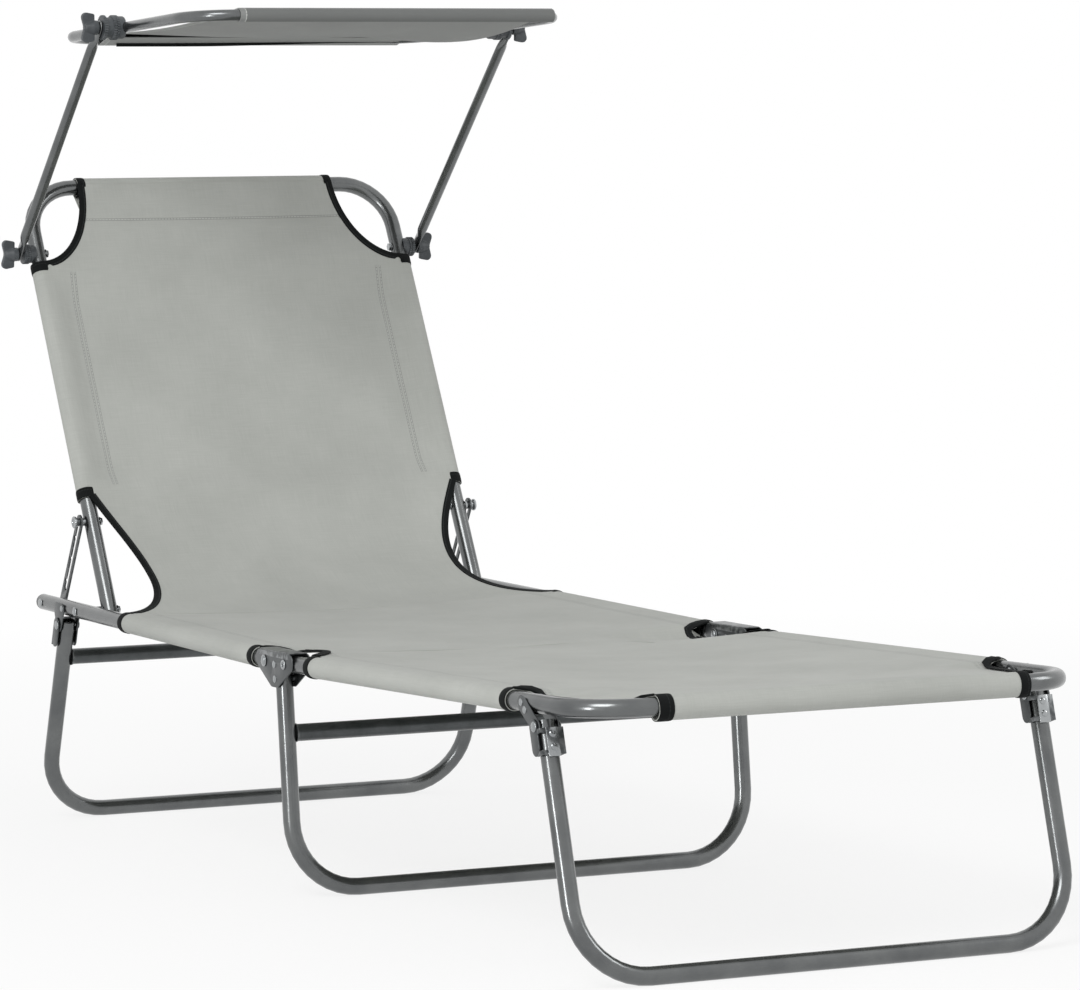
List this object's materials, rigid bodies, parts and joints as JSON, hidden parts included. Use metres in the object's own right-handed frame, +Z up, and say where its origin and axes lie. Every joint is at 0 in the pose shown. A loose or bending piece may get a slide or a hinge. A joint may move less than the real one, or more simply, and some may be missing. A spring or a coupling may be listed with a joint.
{
  "type": "sun lounger with canopy",
  "caption": "Folding sun lounger: bent steel tube frame with fabric sling on bent tube legs, reclining backrest on slotted props, and a tilting fabric canopy on clamped arms",
  "frame": {"origin": "Centre of the bounding box in plan, on the ground plane under the feet.", "axes": "+Z up; +Y from the foot end to the head end; +X to the left hand of a person lying on it face up. Mirror symmetric across X = 0, but for the canopy cloth, which sits a little towards +X."},
  "size_m": [0.5904, 1.6483, 0.984],
  "materials": {
    "frame_tube": "gunmetal grey powder coat with a metallic sheen, satin",
    "bright_zinc": "zinc plated pressed steel, softly bright",
    "bracket_steel": "dark grey metallic paint on pressed steel, satin",
    "clamp_plastic": "moulded dark grey plastic, fine matt grain",
    "plug_plastic": "moulded grey plastic, smooth",
    "sling_cloth": "tight plain weave coated cloth, light grey, with black binding",
    "canopy_cloth": "tight plain weave coated cloth, grey seen from its shaded side"
  },
  "bodies": {
    "seat": {"seat_rail_left": "frame_tube", "seat_rail_right": "frame_tube", "rail_plug_left": "plug_plastic", "rail_plug_right": "plug_plastic", "seat_fabric": "sling_cloth", "rear_clip_left": "bright_zinc", "rear_clip_right": "bright_zinc", "rear_pivot_left": "bright_zinc", "rear_pivot_right": "bright_zinc", "backrest_pivot_left": "bright_zinc", "backrest_pivot_right": "bright_zinc", "prop_pin_left": "bright_zinc", "prop_pin_right": "bright_zinc"},
    "middle_frame": {"mid_bracket_left": "bracket_steel", "mid_bracket_right": "bracket_steel", "mid_head_pin_left": "bright_zinc", "mid_head_pin_right": "bright_zinc", "mid_foot_pin_left": "bright_zinc", "mid_foot_pin_right": "bright_zinc", "mid_leg_frame": "frame_tube", "mid_crossbar": "bracket_steel"},
    "foot_section": {"foot_frame": "frame_tube", "foot_fabric": "sling_cloth", "front_clip_left": "bright_zinc", "front_clip_right": "bright_zinc", "front_pivot_left": "bright_zinc", "front_pivot_right": "bright_zinc"},
    "rear_leg": {"rear_leg_frame": "frame_tube", "rear_crossbar": "bracket_steel", "rear_channel_left": "bright_zinc", "rear_channel_right": "bright_zinc"},
    "front_leg": {"front_leg_frame": "frame_tube", "front_channel_left": "bright_zinc", "front_channel_right": "bright_zinc"},
    "backrest": {"backrest_frame": "frame_tube", "backrest_fabric": "sling_cloth", "prop_stud_left": "bright_zinc", "prop_stud_right": "bright_zinc", "lower_saddle_left": "clamp_plastic", "lower_saddle_right": "clamp_plastic", "lower_bolt_left": "bright_zinc", "lower_bolt_right": "bright_zinc"},
    "prop_left": {"prop_left": "bright_zinc"},
    "prop_right": {"prop_right": "bright_zinc"},
    "canopy_arms": {"canopy_arm_left": "bracket_steel", "canopy_arm_right": "bracket_steel", "lower_disc_left": "clamp_plastic", "lower_disc_right": "clamp_plastic", "upper_disc_left": "clamp_plastic", "upper_disc_right": "clamp_plastic"},
    "canopy": {"canopy_frame": "frame_tube", "canopy_fabric": "canopy_cloth", "upper_saddle_left": "clamp_plastic", "upper_saddle_right": "clamp_plastic", "upper_bolt_left": "bright_zinc", "upper_bolt_right": "bright_zinc"},
    "lower_knob_left": {"lower_knob_left": "clamp_plastic"},
    "lower_knob_right": {"lower_knob_right": "clamp_plastic"},
    "upper_knob_left": {"upper_knob_left": "clamp_plastic"},
    "upper_knob_right": {"upper_knob_right": "clamp_plastic"}
  },
  "joints": [
    {"name": "middle_fold", "type": "hinge", "parent": "seat", "child": "middle_frame", "pos_m": [0, -0.04464, 0.259], "axis": [1, 0, 0], "range_deg": [0, 70]},
    {"name": "foot_fold", "type": "hinge", "parent": "middle_frame", "child": "foot_section", "pos_m": [0, -0.09864, 0.259], "axis": [1, 0, 0], "range_deg": [0, 70]},
    {"name": "rear_leg_fold", "type": "hinge", "parent": "seat", "child": "rear_leg", "pos_m": [0, 0.59559, 0.24694], "axis": [-1, 0, 0], "range_deg": [0, 105]},
    {"name": "front_leg_fold", "type": "hinge", "parent": "foot_section", "child": "front_leg", "pos_m": [0, -0.72496, 0.25221], "axis": [1, 0, 0], "range_deg": [0, 102]},
    {"name": "backrest_recline", "type": "hinge", "parent": "seat", "child": "backrest", "pos_m": [0, 0.5433, 0.26721], "axis": [-1, 0, 0], "range_deg": [0, 49]},
    {"name": "prop_left_swing", "type": "hinge", "parent": "seat", "child": "prop_left", "pos_m": [0, 0.66029, 0.26884], "axis": [-1, 0, 0], "range_deg": [0, 24.5]},
    {"name": "prop_right_swing", "type": "hinge", "parent": "seat", "child": "prop_right", "pos_m": [0, 0.66029, 0.26884], "axis": [-1, 0, 0], "range_deg": [0, 24.5]},
    {"name": "canopy_arm_swing", "type": "hinge", "parent": "backrest", "child": "canopy_arms", "pos_m": [0, 0.76958, 0.69279], "axis": [1, 0, 0], "range_deg": [-90, 60]},
    {"name": "canopy_tilt", "type": "hinge", "parent": "canopy_arms", "child": "canopy", "pos_m": [0, 0.48186, 0.96488], "axis": [1, 0, 0], "range_deg": [-75, 75]},
    {"name": "lower_knob_left_turn", "type": "hinge", "parent": "canopy_arms", "child": "lower_knob_left", "pos_m": [-0.282, 0.76958, 0.69279], "axis": [1, 0, 0], "continuous": true},
    {"name": "lower_knob_right_turn", "type": "hinge", "parent": "canopy_arms", "child": "lower_knob_right", "pos_m": [0.282, 0.76958, 0.69279], "axis": [1, 0, 0], "continuous": true},
    {"name": "upper_knob_left_turn", "type": "hinge", "parent": "canopy_arms", "child": "upper_knob_left", "pos_m": [-0.282, 0.48186, 0.96488], "axis": [1, 0, 0], "continuous": true},
    {"name": "upper_knob_right_turn", "type": "hinge", "parent": "canopy_arms", "child": "upper_knob_right", "pos_m": [0.282, 0.48186, 0.96488], "axis": [1, 0, 0], "continuous": true}
  ],
  "couplings": [
    {"joint": "prop_left_swing", "follows": "backrest_recline", "ratio": 0.5},
    {"joint": "prop_right_swing", "follows": "backrest_recline", "ratio": 0.5}
  ]
}
